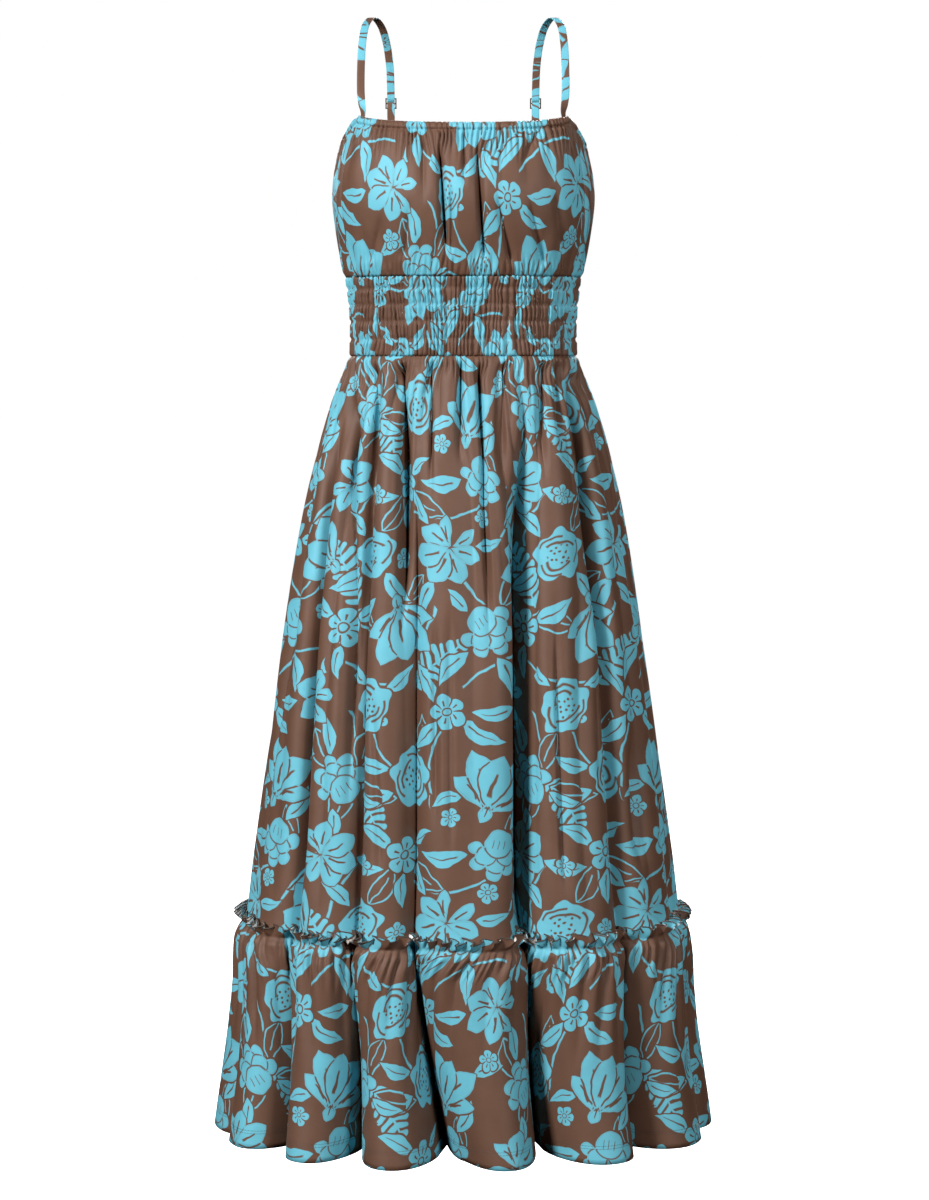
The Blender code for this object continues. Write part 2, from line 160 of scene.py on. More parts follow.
longFolds = (
    # turn at the tier seam and at the hem; millimetres deep at mid-skirt, tier seam and hem
    (-90, -90, 0, 0, 0),
    (-74, -73, 7, 11, 18),
    (-62, -61, 0, 0, 2),
    (-50, -47, 21, 26, 81),
    (-38, -34, 0, 0, 2),
    (-27, -22, 25, 26, 92),
    (-19, -12, 2, 2, 0),
    (-11, -2, 23, 32, 101),
    (2, 6, 0, 0, 0),
    (14, 15, 32, 38, 112),
    (29, 31, 0, 0, 2),
    (45, 45, 19, 25, 74),
    (61, 65, 0, 0, 0),
    (76, 78, 9, 12, 22),
    (90, 90, 0, 0, 0),
    (107, 105, 14, 18, 56),
    (124, 122, 0, 0, 0),
    (140, 139, 21, 25, 69),
    (156, 155, 0, 2, 4),
    (170, 169, 26, 32, 85),
    (184, 185, 0, 0, 0),
    (199, 201, 23, 28, 90),
    (214, 216, 0, 0, 4),
    (229, 231, 18, 23, 67),
    (243, 244, 0, 0, 0),
    (257, 257, 12, 16, 49),
    (270, 270, 0, 0, 0),
)
ridgeBreadth = 0.41  # under 1, ridges are broad and valleys narrow
flounceOpening = 0.85
creases = {
    # their squareness, and in millimetres: distance from the middle at top and foot, spread,
    # depth, heights of top and foot, lengths of fading in and out; mirrored on the back
    1.3: (
        (-26.5, -19, 3.6, 16.1, -140, -266, 30, 28),
        (14, 23.5, 3.2, 12.7, -138, -276, 30, 22),
        (0, 1.6, 2.6, 7.6, -128, -200, 12, 40),
        (-13.5, -12, 2.6, 5.9, -180, -270, 30, 20),
        (-44, -43, 4, 6.1, -134, -215, 20, 45),
        (-57, -65, 4, 5.4, -200, -272, 35, 16),
        (35, 52.5, 3.6, 7.1, -190, -276, 35, 14),
        (71, 88, 3.4, 6.1, -200, -276, 35, 12),
        (99, 111, 4.2, 4.6, -185, -268, 35, 20),
        (82, 60, 3.6, 4.4, -126, -176, 10, 30),
        (-88, -101, 4, 4.4, -215, -274, 30, 12),
        (-121, -130, 6, 18.7, -400, -905, 60, 200),
        (-66, -66.5, 5.2, 22.5, -378, -690, 20, 110),
        (-96, -102, 4.2, 12.1, -378, -570, 16, 90),
        (-99, -89, 3.8, 5.2, -730, -945, 50, 50),
        (-35, -34, 4, 12.1, -376, -535, 14, 80),
        (-30, -29, 4, 7.5, -640, -890, 80, 80),
        (-14.5, -12.5, 3.6, 5, -640, -915, 50, 60),
        (-3, -4, 3.2, 8.6, -376, -500, 12, 70),
        (17, 30, 4.2, 13.1, -378, -720, 20, 150),
        (43.5, 44, 3.4, 9.7, -376, -510, 12, 70),
        (86.5, 90, 3.6, 11.6, -376, -520, 12, 80),
        (103, 108, 3.6, 9.4, -376, -490, 12, 60),
        (120, 160, 6.2, 23.5, -385, -720, 20, 120),
        (146, 151, 3.8, 5, -700, -850, 50, 50),
        (188, 198, 6, 11.2, -770, -940, 70, 50),
        (100, 112, 5, 9.4, -620, -960, 120, 60),
        (-165, -182, 5, 8.4, -640, -960, 120, 60),
    ),
    2.4: ((67, 68, 9, 34, -400, -1050, 160, 100),),
}
bodiceSeam = ((-0.1, 63), (-0.13, 64), (-0.17, 68), (-0.23, 67), (-0.29, 66))


def ease(share):
    return 0.5 - 0.5 * np.cos(np.pi * np.clip(share, 0, 1))


def rising(value, start, full):
    return ease((value - start) / (full - start))


def falling(value, full, gone):
    return 1 - ease((value - full) / (gone - full))


def between(value, start, full, fades, gone):
    return rising(value, start, full) * falling(value, fades, gone)


def alongSections(column, height):
    # smooth curve through one column of the sections
    table = np.array(sections)[::-1] / (1000, 1000, 1000, 1000, 1)
    knots, values = table[:, 0], table[:, column]
    slopes = np.empty(len(knots))
    slopes[1:-1] = (values[2:] - values[:-2]) / (knots[2:] - knots[:-2])
    slopes[0] = (values[1] - values[0]) / (knots[1] - knots[0])
    slopes[-1] = (values[-1] - values[-2]) / (knots[-1] - knots[-2])
    height = np.clip(height, knots[0], knots[-1])
    index = np.clip(np.searchsorted(knots, height, side="right") - 1, 0, len(knots) - 2)
    span = knots[index + 1] - knots[index]
    t = (height - knots[index]) / span
    return (
        (2 * t**3 - 3 * t**2 + 1) * values[index]
        + (t**3 - 2 * t**2 + t) * slopes[index] * span
        + (3 * t**2 - 2 * t**3) * values[index + 1]
        + (t**3 - t**2) * slopes[index + 1] * span
    )


def outline(turn, height):
    # turn in degrees from the front, over the wearer's left
    side, ahead = np.sin(np.radians(turn)), np.cos(np.radians(turn))
    power = 2 / alongSections(4, height)
    reach = np.where(ahead > 0, alongSections(2, height), alongSections(3, height))
    x = np.sign(side) * alongSections(1, height) * np.abs(side) ** power
    y = -np.sign(ahead) * reach * np.abs(ahead) ** power
    return x, y


def outward(curve, turn, height, reach=0.6):
    # level direction away from the wearer
    x0, y0 = curve(turn - reach, height)
    x1, y1 = curve(turn + reach, height)
    length = np.hypot(x1 - x0, y1 - y0)
    return (y1 - y0) / length, (x0 - x1) / length


def steepened(turn, flare):
    # folds near the middle hang plumb, so they stand further round where the skirt is narrow
    base = 0 if turn < 90 else 180
    away = (turn - base) * (1 if turn < 90 else -1)
    if abs(away) >= 90:
        return turn + 0 * flare
    grown = np.sin(np.radians(away)) * flare ** (1.1 * (1 - min(abs(away) / 70, 1)))
    away = np.degrees(np.arcsin(np.clip(grown, -1, 1)))
    return base + away if turn < 90 else 180 - away


def foldDepth(turn, height):
    turn = (turn + 90) % 360 - 90
    start, middle = levels["foldStart"], levels["foldMiddle"]
    tier, hem = levels["tierSeam"], levels["hem"]
    toMid = ease((start - height) / (start - middle))
    toTier = np.clip((middle - height) / (middle - tier), 0, 1)
    toHem = np.clip((tier - height) / (tier - hem), 0, 1)
    flare = alongSections(1, tier) / alongSections(1, np.maximum(height, tier))
    rows = [
        (
            steepened(a, flare) + (b - a) * toHem,
            (mid * toMid + (deep - mid) * toTier + (low - deep) * toHem**flounceOpening) / 1000,
        )
        for a, b, mid, deep, low in longFolds
    ]
    depth = np.zeros_like(turn + height)
    for (start, first), (end, last) in zip(rows, rows[1:]):
        share = np.clip((turn - start) / (end - start), 0, 1)
        fromValley = np.where(first > last, share, 1 - share)
        deep, shallow = np.maximum(first, last), np.minimum(first, last)
        here = deep - (deep - shallow) * ease(fromValley**ridgeBreadth)
        depth = np.where((turn > start) & (turn <= end), here, depth)
    return depth


def creaseDepth(turn, height):
    x, y = outline(turn, height)
    across = np.where(y > 0, -x, x)
    ahead = np.clip(np.abs(np.cos(np.radians(turn))) / 0.22, 0, 1)
    depth = np.zeros_like(turn + height)
    for square, rows in creases.items():
        for top, foot, spread, deep, start, end, fadeIn, fadeOut in np.array(rows) / 1000:
            share = np.clip((start - height) / (start - end), 0, 1)
            away = np.abs(across - top - (foot - top) * share) / spread
            strength = deep * ease((start - height) / fadeIn) * ease((height - end) / fadeOut)
            depth = depth + strength * np.exp(-(away**square))
    return depth * ahead


def dressCurve(turn, height):
    x, y = outline(turn, height)
    nx, ny = outward(outline, turn, height)
    inwards = creaseDepth(turn, height)
    if np.min(height) < levels["foldStart"]:
        inwards = inwards + foldDepth(turn, height)
    return x - nx * inwards, y - ny * inwards


def neckline(turn):
    turn = np.abs((turn + 180) % 360 - 180)
    corner = bodiceSeam[0][1]
    front = levels["topFront"] + (levels["topCorner"] - levels["topFront"]) * (turn / corner) ** 2
    side = levels["topCorner"] + (levels["topSide"] - levels["topCorner"]) * (turn - corner) / (
        90 - corner
    )
    back = levels["topSide"] + (levels["topBack"] - levels["topSide"]) * ease((turn - 90) / 35)
    return np.where(turn <= corner, front, np.where(turn <= 90, side, back))


def seamTurn(height):
    heights, turns = zip(*bodiceSeam[::-1])
    return float(np.interp(height, heights, turns))


def softNoise(across, down, seed):
    # smooth random values from -1 to 1 on a square net
    table = np.random.default_rng(seed).uniform(-1, 1, (97, 89))
    i, j = np.floor(across).astype(int), np.floor(down).astype(int)
    s, t = ease(across - i), ease(down - j)
    near = table[i % 97, j % 89] * (1 - s) + table[(i + 1) % 97, j % 89] * s
    far = table[i % 97, (j + 1) % 89] * (1 - s) + table[(i + 1) % 97, (j + 1) % 89] * s
    return near * (1 - t) + far * t


def gathers(across, down, wave, seed, roundness=1.2):
    # rounded ridges with narrow valleys between them, none quite like the next
    phase = across / wave + 0.8 * softNoise(across / (2.3 * wave), down / (7 * wave), seed)
    strength = 0.8 + 0.35 * softNoise(across / (1.6 * wave), down / (5 * wave), seed + 1)
    return (np.abs(np.sin(np.pi * phase)) ** roundness - 0.45) * strength


# Nodes: each of these functions works in the tree that its sockets belong to
def feed(socket, value):
    if isinstance(value, bpy.types.NodeSocket):
        socket.id_data.links.new(value, socket)
    else:
        socket.default_value = value


def treeOf(values):
    return next(value.id_data for value in values if isinstance(value, bpy.types.NodeSocket))


def addNode(tree, kind, inputs, **settings):
    node = tree.nodes.new("ShaderNode" + kind)
    for key, value in settings.items():
        setattr(node, key, value)
    for key, value in inputs.items():
        feed(node.inputs[key], value)
    return node


def mathNode(operation):
    def made(*values, clamp=False):
        inputs = dict(enumerate(values))
        node = addNode(treeOf(values), "Math", inputs, operation=operation, use_clamp=clamp)
        return node.outputs[0]

    return made


plus, minus, times, timesPlus = map(mathNode, ("ADD", "SUBTRACT", "MULTIPLY", "MULTIPLY_ADD"))
larger, smaller, lessThan = map(mathNode, ("MAXIMUM", "MINIMUM", "LESS_THAN"))
absolute, sine, cosine = map(mathNode, ("ABSOLUTE", "SINE", "COSINE"))
power, pingPong, turnOf = map(mathNode, ("POWER", "PINGPONG", "ARCTAN2"))


def nodeVector(operation, *values):
    node = addNode(treeOf(values), "VectorMath", dict(enumerate(values)), operation=operation)
    return node.outputs["Value" if operation in ("LENGTH", "DISTANCE") else "Vector"]


def newGroup(name, inputs, outputs):
    group = bpy.data.node_groups.new(name, "ShaderNodeTree")
    for side, sockets in (("INPUT", inputs), ("OUTPUT", outputs)):
        for label, kind in sockets.items():
            group.interface.new_socket(label, in_out=side, socket_type="NodeSocket" + kind)
    source, result = group.nodes.new("NodeGroupInput"), group.nodes.new("NodeGroupOutput")
    return group, source.outputs, result.inputs


def placeGroup(tree, group, **values):
    return addNode(tree, "Group", values, node_tree=group).outputs


def splitPlace(source):
    node = addNode(source.id_data, "SeparateXYZ", {0: source})
    return node.outputs["X"], node.outputs["Y"]


def joinPlace(x, y):
    return addNode(treeOf((x, y)), "CombineXYZ", {"X": x, "Y": y}).outputs[0]


def laidAt(place, x, y, turn, width, height):
    # the place as it is seen from a drawing at x and y, turned and with these half sizes
    inputs = {
        "Location": (x, y, 0), "Rotation": (0, 0, math.radians(turn)), "Scale": (width, height, 1),
        "Vector": place,
    }
    return addNode(place.id_data, "Mapping", inputs, vector_type="TEXTURE").outputs[0]


def below(value, limit, soft=0.03):
    # 1 where value is under limit
    return timesPlus(minus(limit, value), 1 / soft, 0.5, clamp=True)


def lineMask(distance, half, soft):
    # 1 within half of a line, with soft edges
    return timesPlus(minus(half, absolute(distance)), 1 / soft, 0.5, clamp=True)


def allOf(*masks):
    return reduce(times, masks)


def anyOf(*masks):
    return reduce(larger, masks)


# Print: a repeat of cut-out flowers, leaves and stems. Each drawing has a place of its own,
# from -1 to 1, and gives how far outside its edge a point lies, and its ink lines
def drawingGroup(name, draw):
    group, source, result = newGroup(name, {"Place": "Vector"}, {"Edge": "Float", "Lines": "Float"})
    edge, lines = draw(*splitPlace(source["Place"]))
    feed(result["Edge"], edge)
    feed(result["Lines"], lines)
    return group


def arch(x):
    # 1 in the middle and 0 at both ends
    return timesPlus(x, times(x, -1.0), 1.0)


def leafForm(x, y, breadth, bend, slant=-0.32):
    # how far a point lies from the midrib, and outside the edge
    full = arch(x)
    rib = timesPlus(full, -bend, y)
    width = times(times(full, timesPlus(x, slant, 1.0)), breadth)
    return rib, minus(absolute(rib), width)


def drawLeaf(x, y):
    rib, edge = leafForm(x, y, 0.37, 0.2)
    vein = lineMask(rib, timesPlus(x, -0.026, 0.03), 0.03)
    return edge, allOf(vein, below(absolute(x), 0.62, 0.1))


def drawOpenLeaf(x, y):
    # only its outline and its vein are printed
    rib, edge = leafForm(x, y, 0.46, 0.16)
    hollow = below(edge, -0.07, 0.03)
    vein = allOf(lineMask(rib, 0.03, 0.03), below(x, 0.45, 0.05))
    return edge, minus(hollow, vein, clamp=True)


def polar(x, y):
    return nodeVector("LENGTH", joinPlace(x, y)), turnOf(y, x)


def drawBlossom(x, y):
    # five round petals, a ring at the heart and a short line on each petal
    r, a = polar(x, y)
    five = absolute(cosine(times(a, 2.5)))
    edge = minus(r, timesPlus(power(five, 0.55), 0.4, 0.55))
    ring = lineMask(minus(r, 0.2), 0.04, 0.04)
    petals = allOf(below(five, 0.2, 0.08), below(times(r, -1.0), -0.3))
    streak = allOf(below(times(five, -1.0), -0.975, 0.02), lineMask(minus(r, 0.48), 0.14, 0.05))
    return edge, anyOf(ring, petals, streak)


def waves(a, count, start):
    return sine(timesPlus(a, count, start))


def drawRose(x, y):
    # a frilled edge, two broken rings that curl inside it and a dotted heart
    y = times(y, 0.8)
    r, a = polar(x, y)
    lobes, frills = waves(a, 5.0, 0.7), waves(a, 9.0, 2.1)
    edge = minus(r, timesPlus(lobes, 0.055, timesPlus(frills, 0.035, 0.7)))
    curl = timesPlus(waves(a, 3.0, 0.4), 0.045, r)
    outerArc = allOf(lineMask(minus(curl, 0.545), 0.03, 0.03), below(waves(a, 3.0, 1.4), 0.35, 0.1))
    innerArc = allOf(lineMask(minus(curl, 0.39), 0.034, 0.03), below(waves(a, 2.0, -0.4), 0.45, 0.1))
    inputs = {"Scale": 6.5, "Randomness": 0.75, "Vector": joinPlace(x, y)}
    seeds = addNode(x.id_data, "TexVoronoi", inputs, voronoi_dimensions="2D")
    dots = allOf(below(seeds.outputs["Distance"], 0.24, 0.12), below(r, 0.31))
    return edge, anyOf(outerArc, innerArc, dots)


def overlaid(petals):
    # each petal's ink is hidden where an upper one lies
    edge, lines = next(petals)
    for away, line in petals:
        lines = larger(lines, minus(line, below(edge, 0.0), clamp=True))
        edge = smaller(edge, away)
    return edge, lines


def longPetal(place, lean, x, y, turn, half, breadth, bend):
    # from its foot at x and y, with an ink edge and a streak up its middle
    a = math.radians(turn)
    laid = laidAt(place, x + half * math.cos(a), y + half * math.sin(a), turn, half, half)
    along, across = splitPlace(laid)
    rib, away = leafForm(along, across, breadth, bend, lean)
    away = times(larger(away, minus(absolute(along), 1.0)), half)
    line = lineMask(plus(away, 0.005), 0.025, 0.02)
    taper = timesPlus(along, -0.045, 0.055)
    streak = allOf(lineMask(rib, taper, 0.03), lineMask(plus(along, 0.08), 0.42, 0.08))
    return away, larger(line, streak)


def longPetals(x, y, petals, lean):
    place = joinPlace(x, y)
    edge, lines = overlaid(longPetal(place, lean, *petal) for petal in petals)
    return edge, allOf(lines, below(edge, -0.03, 0.02))


def drawLily(x, y):
    # side view: petals open like a fan from the foot of the flower
    petals = (
        # x and y of the foot, turn, half length, breadth, bend
        (0.0, -0.72, 96, 0.68, 0.52, 0.05),
        (-0.05, -0.7, 124, 0.72, 0.46, -0.14),
        (0.06, -0.7, 66, 0.74, 0.46, 0.16),
        (-0.1, -0.74, 150, 0.5, 0.44, -0.2),
        (0.1, -0.74, 36, 0.54, 0.42, 0.24),
        (0.0, -0.56, 270, 0.24, 0.6, 0.0),
    )
    return longPetals(x, y, petals, 0.42)


def drawMallow(x, y):
    # half open: broad petals to one side and narrow ones to the other
    petals = (
        (0.1, -0.1, 118, 0.5, 0.62, 0.1),
        (0.08, -0.12, 165, 0.5, 0.6, 0.05),
        (0.12, -0.12, 70, 0.46, 0.56, -0.1),
        (0.08, -0.14, 212, 0.46, 0.6, -0.06),
        (0.14, -0.14, 20, 0.42, 0.4, 0.16),
        (0.1, -0.16, 262, 0.4, 0.56, 0.1),
        (0.16, -0.18, 322, 0.36, 0.44, -0.14),
    )
    return longPetals(x, y, petals, 0.45)


def roundPetal(place, x, y, size):
    away = minus(nodeVector("DISTANCE", place, (x, y, 0)), size)
    return away, lineMask(plus(away, 0.01), 0.022, 0.03)


def drawCup(x, y):
    # overlapping round petals, the outer ones smaller, and a fan of rays on the lowest
    petals = (
        (0.02, -0.3, 0.44), (-0.3, 0.1, 0.3), (0.3, 0.06, 0.3),
        (0.02, 0.32, 0.28), (-0.46, 0.36, 0.22), (0.42, 0.4, 0.24), (0.02, 0.62, 0.22),
        (-0.62, -0.1, 0.2), (0.62, -0.16, 0.22),
    )
    place = joinPlace(x, y)
    edge, lines = overlaid(roundPetal(place, *petal) for petal in petals)
    rays = lineMask(sine(times(x, 17.0)), 0.2, 0.12)
    fan = allOf(rays, lineMask(plus(y, 0.3), 0.14, 0.04), below(absolute(x), 0.27))
    return edge, allOf(anyOf(lines, fan), below(edge, -0.035))


def drawFrond(x, y):
    # a thin stem with narrow leaflets down both its sides
    halfGap = 0.115  # between two leaflets
    full = arch(x)
    away = absolute(timesPlus(full, -0.14, y))
    across = minus(halfGap, pingPong(timesPlus(away, -0.45, x), halfGap))
    beyond = larger(minus(away, timesPlus(full, 0.34, 0.02)), 0.0)
    leaflet = minus(nodeVector("LENGTH", joinPlace(across, beyond)), 0.075)
    stem = minus(away, 0.024)
    ends = minus(absolute(x), 0.9)
    return larger(smaller(leaflet, stem), ends), times(x, 0.0)


def drawStem(x, y):
    edge = minus(absolute(timesPlus(arch(x), -0.28, y)), 0.026)
    ends = minus(absolute(x), 0.97)
    return larger(edge, ends), times(x, 0.0)


printValues = {
    "width": 0.3,  # of the repeat, in metres of flat cloth
    "height": 0.4,
    "wobble": 0.0052,
    "wobbleScale": 55,
    "leaf": 21.5,  # half lengths in millimetres
    "openLeaf": 25,
    "leafVaries": 0.16,
}
# What is drawn in the repeat, the uppermost first: x, y and half size in millimetres, turn in
# degrees, and -1 where the drawing is mirrored
flowers = (
    # kind, x, y, half size, turn, mirrored, turns of its leaves, turns of its open leaves
    ("rose", 40, 45, 35.7, 12, 1, (-35, 160, 210), (75,)),
    ("lily", 138, 42, 44.2, -24, 1, (200, 20), (290,)),
    ("cup", 238, 40, 35.7, 30, 1, (110, 260, 340), (350,)),
    ("blossom", 88, 118, 20.7, 40, 1, (100, 220, 330), ()),
    ("mallow", 190, 125, 40.4, -30, -1, (60, 185), (-60,)),
    ("rose", 286, 122, 34.8, 150, 1, (40, 130), (250,)),
    ("lily", 30, 200, 44.2, 20, -1, (60, 300), (170,)),
    ("cup", 128, 205, 36.7, 35, -1, (230, 290, 140), (60,)),
    ("blossom", 232, 205, 22.6, 10, 1, (30, 140, 270), ()),
    ("mallow", 82, 290, 41.4, 75, 1, (10, 120, 250), (230,)),
    ("lily", 180, 285, 42.3, 65, 1, (340, 90), ()),
    ("rose", 276, 285, 35.7, -60, 1, (140, 210, 320), (60,)),
    ("blossom", 28, 362, 21.6, 80, 1, (150, 30, 270), (330,)),
    ("cup", 136, 366, 34.8, -10, -1, (60, 180), ()),
    ("mallow", 226, 362, 39.5, 150, -1, (350, 215), (80,)),
)
small = (
    (90, 5, 11.8, 0, 1),
    (190, 72, 11.8, 30, 1),
    (0, 110, 12.2, 50, 1),
    (180, 220, 11.8, 80, 1),
    (22, 280, 11.8, 20, 1),
    (128, 325, 11.3, 44, 1),
    (280, 350, 11.8, 10, 1),
)
fronds = (
    (75, 165, 42, 40, 1),
    (225, 262, 44, 120, -1),
    (282, 12, 40, -60, 1),
)
stems = (
    (85, 75, 50, 70, 1),
    (240, 85, 52, 100, -1),
    (150, 160, 50, 20, 1),
    (60, 240, 52, 80, -1),
    (190, 330, 55, 40, 1),
    (270, 165, 50, -20, -1),
    (120, 255, 48, 130, 1),
    (90, 340, 50, 10, -1),
    (250, 310, 50, 70, 1),
    (10, 90, 48, 110, 1),
)


def leavesRound(column, size):
    found = []
    for row in flowers:
        x, y, half = row[1:4]
        for index, angle in enumerate(row[column]):
            length = size * (1 + printValues["leafVaries"] * math.sin(0.9 * x + 5 * index))
            reach = half * 0.86 + length * 0.95
            a = math.radians(angle)
            mirrored = 1 if index % 2 else -1
            found.append((x + reach * math.cos(a), y + reach * math.sin(a), length, angle, mirrored))
    return found


def nearestDrawing(place, rows):
    # the place inside whichever drawing of this kind lies here, the last one where two do
    width, height = printValues["width"] / 2, printValues["height"] / 2
    found = (4.0, 4.0, 0.0)  # outside them all
    for *sizes, turn, mirrored in rows:
        x, y, half = (size / 1000 for size in sizes)
        high, low = (x + width, y + height, 99), (x - width, y - height, -99)
        laid = laidAt(nodeVector("WRAP", place, high, low), x, y, turn, half, half * mirrored)
        inputs = {0: lessThan(nodeVector("LENGTH", laid), 1.12), 4: found, 5: laid}
        found = addNode(place.id_data, "Mix", inputs, data_type="VECTOR").outputs[1]
    return found


def makePrint():
    group, source, result = newGroup("floralPrint", {"Cut": "Vector"}, {"Flower": "Float"})
    inputs = {"Scale": printValues["wobbleScale"], "Detail": 1.5, "Vector": source["Cut"]}
    wobble = addNode(group, "TexNoise", inputs, noise_dimensions="2D").outputs["Color"]
    shift = nodeVector("SUBTRACT", wobble, (0.5, 0.5, 0.5))
    shift = nodeVector("MULTIPLY", shift, (printValues["wobble"], printValues["wobble"], 0.0))
    place = nodeVector("ADD", source["Cut"], shift)
    kinds = {kind: [row[1:6] for row in flowers if row[0] == kind] for kind, *_ in flowers}
    layers = (
        # name, drawing, where, halo kept free of what lies under it
        ("rose", drawRose, kinds["rose"], 0.06),
        ("lily", drawLily, kinds["lily"], 0.045),
        ("mallow", drawMallow, kinds["mallow"], 0.045),
        ("cup", drawCup, kinds["cup"], 0.06),
        ("blossom", drawBlossom, kinds["blossom"], 0.1),
        ("small", drawBlossom, small, 0.16),
        ("leaf", drawLeaf, leavesRound(6, printValues["leaf"]), 0.09),
        ("openLeaf", drawOpenLeaf, leavesRound(7, printValues["openLeaf"]), 0.09),
        ("frond", drawFrond, fronds, 0.05),
        ("stem", drawStem, stems, 0.03),
    )
    drawings, printed = {}, None
    for name, draw, rows, halo in layers:
        if draw not in drawings:
            drawings[draw] = drawingGroup(name + "Drawing", draw)
        drawn = placeGroup(group, drawings[draw], Place=nearestDrawing(place, rows))
        fill = minus(below(drawn["Edge"], 0.0, 0.02), drawn["Lines"], clamp=True)
        printed = fill if printed is None else larger(printed, fill)
        # what lies under this drawing, or close round it, is out of reach of the next ones
        away = addNode(group, "CombineXYZ", {"Z": times(lessThan(drawn["Edge"], halo), 9.0)})
        place = nodeVector("ADD", place, away.outputs[0])
    feed(result["Flower"], printed)
    return group


# Cloth and thread materials
surfaces = {
    "threadsPerMetre": 2600.0,
    "threadHeight": 0.00006,
    "weaveStrength": 0.5,
    "unevenScale": 38,
    "printedCloth": {
        "ground": (0.114, 0.057, 0.036, 1),
        "flower": (0.118, 0.403, 0.5, 1),
        "roughness": 0.5,
        "gloss": 0.22,
        "uneven": 0.3,
    },
    "wrongSide": {
        # the print shows faintly through
        "ground": (0.62, 0.55, 0.49, 1),
        "flower": (0.66, 0.8, 0.84, 1),
        "roughness": 0.7,
        "gloss": 0.5,
        "uneven": 0.0,
    },
}


def makeWeave():
    # fine plain weave and the uneven take-up of the dye
    inputs, outputs = {"Cut": "Vector", "Threads": "Float"}, {"Height": "Float", "Uneven": "Float"}
    group, source, result = newGroup("fineWeave", inputs, outputs)
    x, y = splitPlace(source["Cut"])
    turns = times(source["Threads"], math.pi)
    feed(result["Height"], times(sine(times(x, turns)), sine(times(y, turns))))
    inputs = {"Scale": surfaces["unevenScale"], "Detail": 3, "Vector": source["Cut"]}
    feed(result["Uneven"], addNode(group, "TexNoise", inputs).outputs["Fac"])
    return group


def mixColours(factor, first, second):
    inputs = {0: factor, 6: first, 7: second}
    return addNode(factor.id_data, "Mix", inputs, data_type="RGBA").outputs[2]


def startMaterial(name):
    material = bpy.data.materials.new(name)
    material.use_nodes = True
    tree = material.node_tree
    return material, tree, tree.nodes["Principled BSDF"].inputs


def raiseBump(skin, height, strength, distance):
    inputs = {"Strength": strength, "Distance": distance, "Height": height}
    feed(skin["Normal"], addNode(height.id_data, "Bump", inputs).outputs["Normal"])


def makeCloth(name):
    surface = surfaces[name]
    material, tree, skin = startMaterial(name)
    cut = addNode(tree, "UVMap", {}, uv_map="cut").outputs["UV"]
    printed = placeGroup(tree, printGroup, Cut=cut)
    threads = placeGroup(tree, weaveGroup, Cut=cut, Threads=surfaces["threadsPerMetre"])
    colour = mixColours(printed["Flower"], surface["ground"], surface["flower"])
    if surface["uneven"]:
        shade = timesPlus(threads["Uneven"], surface["uneven"], 1 - surface["uneven"] / 2)
        inputs = {0: colour, "Scale": shade}
        colour = addNode(tree, "VectorMath", inputs, operation="SCALE").outputs["Vector"]
    feed(skin["Base Color"], colour)
    feed(skin["Roughness"], surface["roughness"])
    feed(skin["Specular IOR Level"], surface["gloss"])
    raiseBump(skin, threads["Height"], surfaces["weaveStrength"], surfaces["threadHeight"])
    return material


printGroup = makePrint()
weaveGroup = makeWeave()
printedCloth = makeCloth("printedCloth")
wrongSide = makeCloth("wrongSide")
print("cloth materials are made")


# Cloth panels
weave = {
    "thickness": 0.00035,
    "seamTurnIn": 0.003,  # how near its side seams a panel rolls inwards
    "sideGroove": 0.0011,  # and how deep
    "samples": 1801,  # along each row, before it is cut into even steps
    "evenPasses": 60,
    "valleyRoom": 0.5,  # part of a valley's radius that a gather may fill
    "normalReach": 2.6,  # degrees either side that a point's outward direction is read from
}
panels = []


def seamsOf(side, turn):
    return (-turn, turn) if side == "front" else (turn, 360 - turn)


def netOf(side, heightAt, seamAt, shares, columns):
    # rows of points at even steps of cloth between two side seams
    across = np.linspace(0, 1, columns + 1)
    turns = np.linspace(0, 1, weave["samples"])
    rows = []
    for share in shares:
        height = heightAt(np.full_like(turns, 0 if side == "front" else 180), share)
        for _ in range(3):
            first, last = seamsOf(side, seamAt(float(height[0])))
            spread = first + (last - first) * turns
            height = heightAt(spread, share)
        x, y = dressCurve(spread, height)
        steps = np.sqrt(np.diff(x) ** 2 + np.diff(y) ** 2 + np.diff(height) ** 2)
        walked = np.concatenate([[0], np.cumsum(steps)])
        rows.append(np.interp(across * walked[-1], walked, spread))
    # the threads run down the cloth without jumps from row to row
    turn = np.array(rows)
    for _ in range(weave["evenPasses"]):
        turn[1:-1] = 0.25 * turn[:-2] + 0.5 * turn[1:-1] + 0.25 * turn[2:]
        turn[0], turn[-1] = 0.5 * (turn[0] + turn[1]), 0.5 * (turn[-1] + turn[-2])
    found = []
    for row, share in zip(turn, shares):
        height = heightAt(row, share)
        x, y = dressCurve(row, height)
        nx, ny = outward(dressCurve, row, height, weave["normalReach"])
        found.append((x, y, height, nx, ny))
    return np.array(found).transpose(1, 0, 2)


